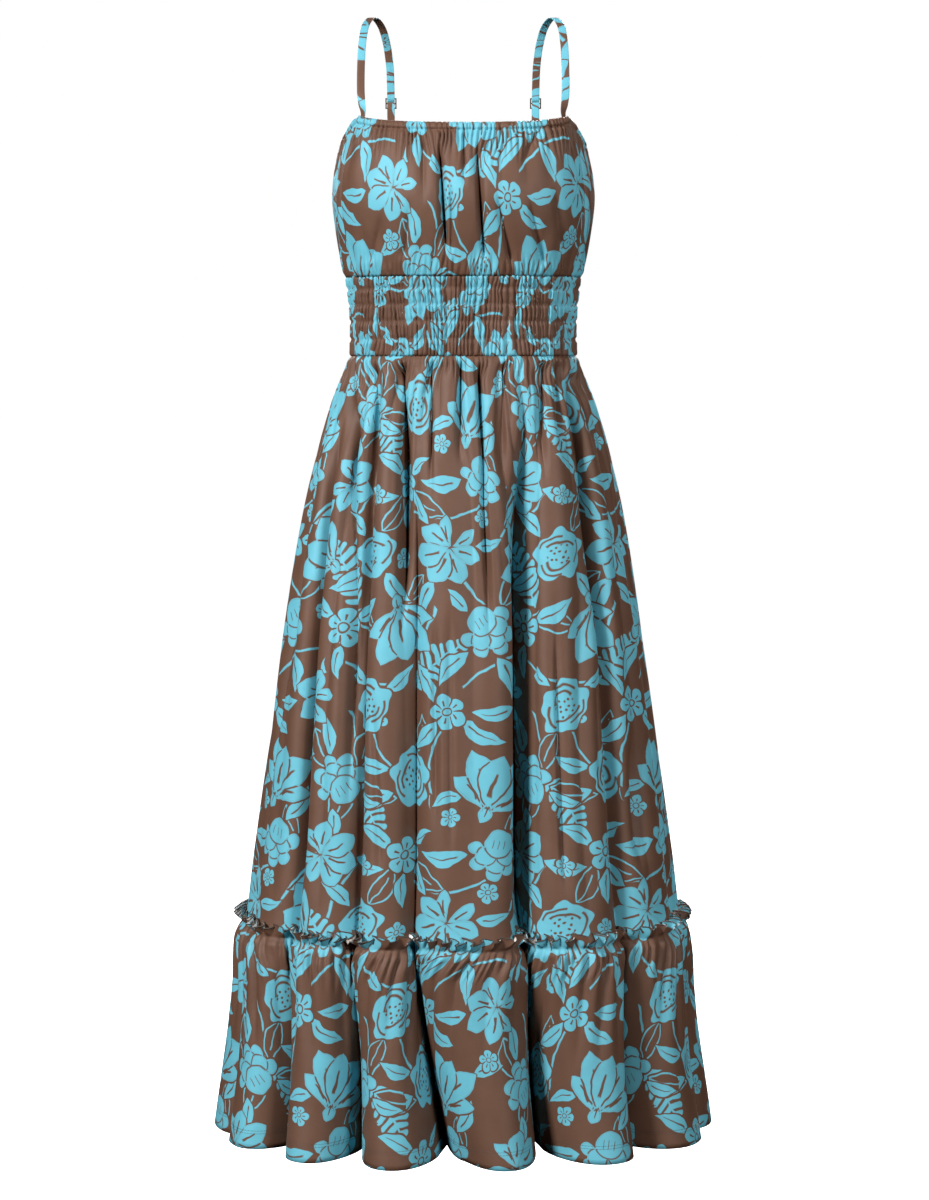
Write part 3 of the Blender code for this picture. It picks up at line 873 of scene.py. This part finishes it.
def makeSheet(name, place, spots, materials, thickness=0, close=False):
    # a grid of vertices moved to its rows of places, with its flat cut as UVs
    rows, columns = place.shape[0] - 1, place.shape[1] - 1
    shape = bmesh.new()
    shape.loops.layers.uv.new("cut")
    bmesh.ops.create_grid(shape, x_segments=columns, y_segments=rows, size=0.5)
    mesh = bpy.data.meshes.new(name)
    shape.to_mesh(mesh)
    shape.free()
    flat = np.empty(len(mesh.vertices) * 3)
    mesh.vertices.foreach_get("co", flat)
    column = np.round((flat[0::3] + 0.5) * columns).astype(int)
    row = np.round((0.5 - flat[1::3]) * rows).astype(int)
    mesh.vertices.foreach_set("co", place[row, column].ravel())
    corners = np.empty(len(mesh.loops), dtype=np.int32)
    mesh.loops.foreach_get("vertex_index", corners)
    mesh.uv_layers["cut"].data.foreach_set("uv", spots[row, column][corners].ravel())
    if close:
        shape = bmesh.new()
        shape.from_mesh(mesh)
        bmesh.ops.remove_doubles(shape, verts=shape.verts[:], dist=1e-6)
        shape.to_mesh(mesh)
        shape.free()
    mesh.polygons.foreach_set("use_smooth", np.ones(len(mesh.polygons), dtype=bool))
    for material in materials:
        mesh.materials.append(material)
    made = addObject(name, mesh)
    if thickness:
        wall = made.modifiers.new("wall", "SOLIDIFY")
        wall.thickness = thickness
        wall.offset = -1
        wall.material_offset = len(materials) - 1
    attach(made, "root")
    return made


def layPanel(node, slot, cut, shares, net, press):
    # a flat cut piece, laid on the dress and pressed into its gathers
    x, y, height, nx, ny = net
    across = np.linspace(-0.5, 0.5, cut["columns"] + 1)[None, :]
    length = np.abs(height[0] - height)
    width = cut["top"] + (cut["bottom"] - cut["top"]) * np.array(shares)[:, None]
    u = across * width + cut["startAcross"]
    v = cut["startDown"] - length
    for seam in cut.get("shiftsBelow", ()):
        u = u + cut["shift"] * np.sin(seam * 4700) * rising(seam - height, 0, 0.0024)
    out, side, up = press(across * width, length, height)
    edge = (0.5 - np.abs(across)) * width / cut.get("grooveWidth", weave["seamTurnIn"])
    # gathers stay out of the narrow valleys, where two walls would cross
    swing = np.gradient(np.unwrap(np.arctan2(ny, nx), axis=1), axis=1)
    pace = np.hypot(np.gradient(x, axis=1), np.gradient(y, axis=1))
    out = np.minimum(out, weave["valleyRoom"] * pace / np.maximum(-swing, 1e-6))
    # side seams lie flat, so that the two panels meet along them
    free = ease(edge)
    groove = cut.get("sideGroove", weave["sideGroove"])
    out = out * free - groove * np.clip(1 - edge, 0, 1) ** 1.5
    side, up = side * free, up * free
    place = np.stack([x + nx * out - ny * side, y + ny * out + nx * side, height + up], axis=-1)
    spots = np.stack([u, v], axis=-1)
    materials = (printedCloth, wrongSide)
    cloth = makeSheet("cloth_" + node, place, spots, materials, weave["thickness"])
    area = float(np.sum(np.abs(np.diff(u[:-1], axis=1) * np.diff(v[:, :-1], axis=0))))
    flat = (max(cut["top"], cut["bottom"]), round(float(length.max()), 4))
    panels.append((cloth, node, slot, flat, round(area, 4)))
    print(cloth.name, "laid with", len(cloth.data.polygons), "faces")
    return place


def stepsBetween(stretches):
    # shares from 0 to 1 whose spacing changes between stretches of (end, rows in it)
    found, start = [0.0], 0.0
    for end, count in stretches:
        found += [start + (end - start) * (i + 1) / count for i in range(count)]
        start = end
    return [share / start for share in found]


def straightSeam(height):
    return 90


def layPair(name, slot, piece, heightAt, press, seamAt=straightSeam):
    # the front and the back of a piece
    shares, places = stepsBetween(piece["rows"]), {}
    for side in ("front", "back"):
        cut = {**piece["cut"], **piece[side]}
        net = netOf(side, heightAt, seamAt, shares, cut["columns"])
        places[side] = layPanel(name + "_" + side, slot, cut, shares, net, press)
    return places


# Bodice
bodice = {
    "casing": 0.0085,
    "casingPuff": 0.0014,
    "casingGroove": 0.0018,
    "gatherWave": 0.0085,  # metres of flat cloth to a gather
    "topGather": 0.0033,
    "waistGather": 0.0042,
    "topSoftGather": 0.0022,
    "waistSoftGather": 0.0026,
    "rows": ((0.01, 8), (0.045, 16), (0.115, 16), (0.163, 18)),  # how far down, and rows to there
    "cut": {"startDown": 0.2, "sideGroove": 0.0042, "grooveWidth": 0.0085},
    "front": {"top": 0.42, "bottom": 0.42, "startAcross": 0.31, "columns": 330},
    "back": {"top": 0.64, "bottom": 0.6, "startAcross": 1.12, "columns": 310},
}


def bodiceHeight(turn, share):
    top = neckline(turn)
    return top + (levels["waistTop"] - 0.0004 - top) * share


def pressBodice(a, d, height):
    # a and d are metres across and down the flat cut; gives moves outwards, sideways and upwards
    over = height - levels["waistTop"]
    wave = bodice["gatherWave"]
    casing = bodice["casing"]
    low = softNoise(a / 0.045, d / 0.09, 21)
    tight = gathers(a, d * 0, 0.0085, 22, 0.9)
    out = bodice["casingPuff"] * np.sin(np.pi * np.clip(d / casing, 0, 1)) ** 0.7
    out += bodice["topGather"] * 0.75 * tight * falling(d, casing, casing + 0.006)
    reach = casing + 0.03 + 0.02 * softNoise(a / 0.02, d * 0, 23)
    out += bodice["topGather"] * 1.5 * gathers(a, d, wave, 24, 0.9) * (
        rising(d, 0.6 * casing, casing + 0.004) * (1 - ease((d - casing) / reach))
    )
    out -= bodice["casingGroove"] * np.exp(-(((d - casing) / 0.0014) ** 2))
    soft = gathers(a, d * 0.5, 0.034, 25)
    out += bodice["topSoftGather"] * soft * between(d, casing, 0.035, 0.045, 0.085)
    waistReach = 0.018 + 0.012 * softNoise(a / 0.02, d * 0, 26)
    out += bodice["waistGather"] * 0.6 * gathers(a, d, wave, 27) * (
        rising(over, 0.0, 0.004) * (1 - ease((over - 0.006) / waistReach))
    )
    waistSoft = gathers(a, d * 0.5, 0.03, 28)
    out += bodice["waistSoftGather"] * waistSoft * between(over, 0.004, 0.016, 0.022, 0.065)
    out += 0.0016 * between(over, 0, 0.006, 0.01, 0.05) + 0.0008 * low
    return out, out * 0, -0.0009 * rising(-over, -0.006, 0.0)


layPair("bodice", "printed_cloth", bodice, bodiceHeight, pressBodice, seamTurn)

# Waistband, shirred on rows of elastic
elasticRows = (-0.2989, -0.3163, -0.3349, -0.3543)
band = {
    "pucker": 0.0088,  # metres of flat cloth to a pucker
    "puff": 0.0012,
    "sunk": 0.0016,
    "rows": ((1.0, 36),),
    # the print shifts from one row of elastic to the next
    "cut": {"top": 0.66, "bottom": 0.66, "shift": 0.014, "shiftsBelow": elasticRows},
    "front": {"startAcross": 0.4, "startDown": 0.62, "columns": 540},
    "back": {"startAcross": 1.3, "startDown": 0.4, "columns": 450},
}


def bandHeight(turn, share):
    top, foot = levels["waistTop"] - 0.0002, levels["waistBottom"] + 0.0002
    return turn * 0 + top + share * (foot - top)


def pressBand(a, d, height):
    rows = np.array((levels["waistTop"], *elasticRows, levels["waistBottom"]))
    nearest = np.min(np.abs(height[..., None] - rows), axis=-1)
    puff = ease(nearest / 0.0036) ** 0.7
    wave = band["pucker"]
    leaning = a + 0.22 * d * softNoise(a / 0.07, d * 0, 37) + 0.0016 * softNoise(a / 0.03, d / 0.018, 38)
    fine = gathers(leaning, d * 0.35, wave, 32, 0.85)
    coarse = gathers(a, d * 0.6, wave * 2.1, 34)
    out = -band["sunk"] + band["puff"] * puff * (0.8 + 0.3 * softNoise(a / 0.02, d / 0.012, 33))
    out += fine * (0.0022 + 0.002 * puff) + coarse * (0.0004 + 0.001 * puff)
    side = 0.0008 * puff * softNoise(a / 0.006, d / 0.006, 35)
    up = 0.0007 * softNoise(a / 0.012, d / 0.5, 36)
    depth = levels["waistTop"] - levels["waistBottom"]
    return out, side, up * rising(d, 0, 0.004) * rising(depth - d, 0, 0.004)


layPair("waistband", "shirred_cloth", band, bandHeight, pressBand)

# Skirt
skirt = {
    "gatherWave": 0.0105,
    "gather": 0.0038,
    "softWave": 0.027,
    "softGather": 0.0058,
    "broadWave": 0.062,
    "broadGather": 0.0085,
    "rows": ((0.04, 20), (0.15, 20), (0.637, 36)),
    "cut": {"top": 0.6, "bottom": 0.76, "sideGroove": 0.0019},
    "front": {"startAcross": 0.42, "startDown": 1.3, "columns": 480},
    "back": {"startAcross": 1.36, "startDown": 1.1, "columns": 430},
}


def skirtHeight(turn, share):
    top = levels["waistBottom"] + 0.0014
    return turn * 0 + top + share * (levels["tierSeam"] - 0.004 - top)


def pressSkirt(a, d, height):
    reach = 0.046 + 0.03 * softNoise(a / 0.03, d * 0, 41)
    out = skirt["gather"] * gathers(a, d, skirt["gatherWave"], 42, 0.9) * (
        (0.25 + 0.75 * rising(d, 0, 0.007)) * (1 - ease((d - 0.008) / reach))
    )
    out += skirt["softGather"] * gathers(a, d * 0.6, skirt["softWave"], 43) * (
        rising(d, 0.004, 0.03) * (1 - 0.75 * rising(d, 0.045, 0.14)) * falling(d, 0.16, 0.42)
    )
    out += skirt["broadGather"] * gathers(a, d * 0.25, skirt["broadWave"], 45) * (
        rising(d, 0.03, 0.12) * (1 - 0.35 * rising(d, 0.25, 0.6))
    )
    out += 0.0014 * between(d, 0, 0.008, 0.02, 0.08)
    out *= falling(d, 0.56, 0.628)
    return out - 0.0004 - 0.0016 * falling(d, 0.0, 0.0035), out * 0, out * 0


layPair("skirt", "printed_cloth", skirt, skirtHeight, pressSkirt)

# Flounce, with the frill that stands above its gathering seam
flounce = {
    "frill": 0.0125,
    "frillWave": 0.021,
    "frillOut": 0.0062,
    "frillSwing": 0.0074,
    "frillSide": 0.0052,
    "frillRise": 0.0042,
    "gatherWave": 0.0125,
    "gather": 0.0062,
    "softWave": 0.034,
    "softGather": 0.0066,
    "rows": ((0.0125, 9), (0.045, 17), (0.244, 34)),
    "cut": {},
    "front": {"top": 1.24, "bottom": 1.24, "startAcross": 0.72, "startDown": 2.2, "columns": 560},
    "back": {"top": 1.12, "bottom": 1.12, "startAcross": 2.1, "startDown": 2.03, "columns": 490},
}


def flounceHeight(turn, share):
    top = levels["tierSeam"] + flounce["frill"]
    return turn * 0 + top + share * (levels["hem"] + 0.0004 - top)


def pressFlounce(a, d, height):
    above = np.clip((flounce["frill"] - d) / flounce["frill"], 0, 1)
    lower = np.clip(d - flounce["frill"], 0, None)
    waved = 2 * np.pi * (a / flounce["frillWave"] + 0.9 * softNoise(a / 0.05, d * 0, 51))
    size = 0.75 + 0.45 * softNoise(a / 0.04, d * 0, 52)
    out = 0.0014 + above**0.8 * (flounce["frillOut"] + flounce["frillSwing"] * size * np.sin(waved))
    side = above * flounce["frillSide"] * size * np.sin(2 * waved + 0.6)
    up = above * size * (flounce["frillRise"] * np.cos(waved + 0.9) - 0.0014)
    reach = 0.05 + 0.03 * softNoise(a / 0.03, d * 0, 53)
    fine = gathers(a, lower, flounce["gatherWave"], 54)
    out += flounce["gather"] * fine * (
        (0.15 + 0.85 * rising(lower, 0, 0.008)) * (1 - ease((lower - 0.01) / reach))
    ) * (1 - above)
    soft = gathers(a, lower * 0.5, flounce["softWave"], 55)
    out += flounce["softGather"] * soft * between(lower, 0.004, 0.022, 0.05, 0.16)
    out += 0.003 * between(lower, 0, 0.01, 0.02, 0.09)
    out += 0.0022 * softNoise(a / 0.06, lower / 0.2, 56) * rising(lower, 0.05, 0.15)
    return out, side, up


flouncePlaces = layPair("flounce", "printed_cloth", flounce, flounceHeight, pressFlounce)

# Straps and loop tabs: narrow tubes of the same cloth, pressed flat
strap = {
    "width": 0.0085,
    "thickness": 0.0012,
    "wall": 0.00035,
    "aroundSteps": 16,
    "spacing": 0.0022,  # metres between sections
    "sway": 0.00025,
    "startsAt": {"left": (0.06, 0.11), "right": (0.17, 0.03)},  # on the print
    "tabApart": 0.05,  # of the tab from its strap, on the print
}
strapRoute = (
    # over the wearer's left shoulder, from the front casing: x, y and z in millimetres, and
    # turn of the width
    (111.2, -56.1, -120.5, 51),
    (109, -54.8, -108.5, 51),
    (110.8, -50, -96.5, 22),
    (111.8, -45.5, -83, 0),
    (111.6, -41, -56, 0),
    (110.2, -34.5, -30.5, 0),
    (107, -21.5, -11, 0),
    (99.5, 0, -0.6, 0),
    (91.2, 22.5, -7.5, 0),
    (85.9, 39, -24, 0),
    (82.6, 49.5, -48, 0),
    (81.8, 56.1, -70, 0),
)
slider = {
    "bar": (0.0817, 0.0607, -0.089),
    "slope": 14,  # degrees that the back run leans
    "length": 0.012,
    "rail": 0.0014,
    "weave": 0.0015,
}
loop = {"at": 0.0515, "length": 0.0052, "bend": 0.0017}
tabEnd = 0.0715


def backPoint(side, s, n):
    # on the straight back run: s down the strap, n outwards
    lean = math.radians(slider["slope"])
    x, y, z = slider["bar"]
    y += math.sin(lean) * s + math.cos(lean) * n
    z += -math.cos(lean) * s + math.sin(lean) * n
    return x * side, y, z, 0


def roundTheBar(at, direction):
    turns = [math.pi * step / 6 for step in range(7)]
    bend = loop["bend"]
    return [(at + direction * bend * math.sin(a), bend * (math.cos(a) - 1)) for a in turns]


def strapPath(side):
    half, rail, lift = slider["length"] / 2, slider["rail"], slider["weave"]
    edge = half - rail
    run = [
        (-half - 0.001, 0), (-edge, 0), (-rail / 2, 2 * lift), (rail / 2, 2 * lift),
        (edge, 0), (half + 0.001, 0), *roundTheBar(loop["at"], 1),
        (half + 0.006, -lift - 0.0006), (edge, -lift - 0.0003), (rail, 0), (-rail, 0),
    ]
    points = [(x * side / 1000, y / 1000, z / 1000, turned * side) for x, y, z, turned in strapRoute]
    return points + [backPoint(side, s, n) for s, n in run]


def tabPath(side):
    bar = loop["at"] + loop["length"]
    run = [(tabEnd, -0.0002), (bar + 0.008, -0.0006), *roundTheBar(bar, -1)]
    run += [(bar + 0.008, -0.0024), (tabEnd, -0.002)]
    return [backPoint(side, s, n) for s, n in run]


def unit(vectors):
    return vectors / np.linalg.norm(vectors, axis=-1, keepdims=True)


def evenSteps(rows, stepsFor):
    # the same line in even steps, with how far along it each lies
    steps = np.linalg.norm(np.diff(rows[:, :3], axis=0), axis=1)
    walked = np.concatenate([[0], np.cumsum(steps)])
    wanted = np.linspace(0, walked[-1], stepsFor(walked[-1]) + 1)
    return np.stack([np.interp(wanted, walked, column) for column in rows.T], axis=1), wanted


def smoothRoute(route):
    # rows of x, y, z and turn along a smooth curve through the route
    knots = np.array(route, dtype=float)
    ends = np.vstack([2 * knots[0] - knots[1], knots, 2 * knots[-1] - knots[-2]])
    t = np.linspace(0, 1, 24, endpoint=False)[:, None]
    rows = []
    for a, b, c, d in zip(ends, ends[1:], ends[2:], ends[3:]):
        square, cube = 2 * a - 5 * b + 4 * c - d, 3 * b - a - 3 * c + d
        rows.append((2 * b + (c - a) * t + square * t**2 + cube * t**3) / 2)
    return np.vstack([*rows, knots[-1:]])


def turnsRound(count):
    around = 2 * math.pi * np.arange(count + 1) / count
    around[-1] = 0
    return around


def makeStrap(node, route, start):
    points, walked = evenSteps(smoothRoute(route), lambda far: max(int(far / strap["spacing"]), 12))
    middle = points[:, :3]
    along = unit(np.gradient(middle, axis=0))
    angle = np.radians(points[:, 3])
    level = np.stack([np.cos(angle), np.sin(angle), angle * 0], axis=1)
    across = unit(level - along * np.sum(along * level, axis=1, keepdims=True))
    out = np.cross(across, along)
    around = turnsRound(strap["aroundSteps"])
    wide = np.sign(np.cos(around)) * np.abs(np.cos(around)) ** 0.7 * strap["width"] / 2
    # the pressed edges stay fuller than the middle
    full = 1 - 0.18 * np.cos(np.pi * np.clip(np.abs(wide) / strap["width"] * 2, 0, 1)) ** 2
    thick = np.sign(np.sin(around)) * np.abs(np.sin(around)) ** 0.55 * strap["thickness"] / 2 * full
    sway = strap["sway"] * softNoise(walked / 0.012, walked * 0, 71)[:, None, None]
    place = (
        middle[:, None] + across[:, None] * wide[None, :, None]
        + out[:, None] * (thick[None, :, None] + sway)
    )
    share = np.arange(strap["aroundSteps"] + 1) / strap["aroundSteps"]
    u = start[0] + share[None, :] * 2 * strap["width"] + walked[:, None] * 0
    v = start[1] + walked[:, None] + share[None, :] * 0
    spots = np.stack([u, v], axis=-1)
    made = makeSheet("cloth_" + node, place, spots, (printedCloth,), strap["wall"], close=True)
    length = round(float(walked[-1]), 4)
    print(made.name, "is", length, "m long")
    return made, node, length


straps = []
for label, side in (("left", 1), ("right", -1)):
    across, down = strap["startsAt"][label]
    straps.append(makeStrap("strap_" + label, strapPath(side), (across, down)))
    tabStart = (across + strap["tabApart"], down)
    straps.append(makeStrap("loop_tab_" + label, tabPath(side), tabStart))

# Threads: the overlocked edge of the frill and the two rows of stitches above the hem
thread = {
    "sides": 5,
    "overlockRadius": 0.0008,
    "overlockStitch": 0.0028,
    "overlockPinch": 0.25,
    "hemRadius": 0.00026,
    "hemStitch": 0.0036,
    "hemPinch": 0.8,
    "hemRows": (0.017, 0.02),  # above the hem
    # dark and light: painted shade in the grooves of the thread's twist and painted highlight on its
    # plies
    "dark": (0.03, 0.02, 0.015, 1),
    "light": (0.085, 0.058, 0.045, 1),
    "twistShading": 900,
    "roughness": 0.55,
}
metalwork = {
    "dark": (0.03, 0.022, 0.019, 1),
    "light": (0.085, 0.064, 0.054, 1),
    "grain": 900,
    "grainHeight": 0.00004,
    "metallic": 0.6,
}


def layThread(name, line, kind):
    # a thread along a line of points, pinched between its stitches
    stitch = thread[kind + "Stitch"]
    line, wanted = evenSteps(line, lambda far: int(far / stitch * 3))
    along = unit(np.gradient(line, axis=0))
    side = unit(np.cross(along, np.array([0.0, 0.0, 1.0])))
    up = np.cross(side, along)
    swell = 1 - thread[kind + "Pinch"] * np.cos(2 * np.pi * wanted / stitch) ** 8
    around = turnsRound(thread["sides"])[None, :, None]
    place = line[:, None] + thread[kind + "Radius"] * swell[:, None, None] * (
        side[:, None] * np.cos(around) + up[:, None] * np.sin(around)
    )
    share = np.arange(thread["sides"] + 1) / thread["sides"]
    spots = np.stack([share[None, :] * 0.005 + wanted[:, None] * 0, wanted[:, None] + share * 0], axis=-1)
    makeSheet("thread_" + name, place, spots, (seamThread,), close=True)


def makeThreadMaterial():
    material, tree, skin = startMaterial("seamThread")
    cut = addNode(tree, "UVMap", {}, uv_map="cut").outputs["UV"]
    # diagonal bands that mix dark and light: painted shade between the twisted plies and painted
    # highlight on their crowns
    inputs = {"Scale": thread["twistShading"], "Vector": cut}
    twistShading = addNode(tree, "TexWave", inputs, bands_direction="DIAGONAL").outputs["Fac"]
    feed(skin["Base Color"], mixColours(twistShading, thread["dark"], thread["light"]))
    feed(skin["Roughness"], thread["roughness"])
    return material


def makeEnamel():
    # dark enamelled metal with a fine grain
    material, tree, skin = startMaterial("darkEnamel")
    where = addNode(tree, "TexCoord", {}).outputs["Object"]
    inputs = {"Scale": metalwork["grain"], "Detail": 4, "Vector": where}
    grain = addNode(tree, "TexNoise", inputs).outputs["Fac"]
    feed(skin["Base Color"], mixColours(grain, metalwork["dark"], metalwork["light"]))
    feed(skin["Roughness"], timesPlus(grain, 0.25, 0.24))
    feed(skin["Metallic"], metalwork["metallic"])
    raiseBump(skin, grain, 1.0, metalwork["grainHeight"])
    return material


seamThread = makeThreadMaterial()
for label, place in flouncePlaces.items():
    layThread("frill_" + label, place[0] + (place[0] - place[1]) * 0.1, "overlock")
    heights = np.mean(place[:, :, 2], axis=1)
    for index, above in enumerate(thread["hemRows"]):
        row = int(np.argmin(np.abs(heights - levels["hem"] - above)))
        share = (heights[row] - levels["hem"] - above) / (heights[row] - heights[row + 1])
        layThread(f"hem_{label}_{index + 1}", place[row] * (1 - share) + place[row + 1] * share, "hem")

enamel = makeEnamel()
for node in ("slider_left", "loop_left", "slider_right", "loop_right"):
    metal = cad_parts[node]
    metal.data.materials.clear()
    metal.data.materials.append(enamel)
print("straps, tabs, threads and hardware are ready")

# The CAD parts that the cloth pieces stand in for are hidden
for piece, node, slot, flat, area in panels:
    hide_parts(node)
for piece, node, length in straps:
    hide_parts(node)
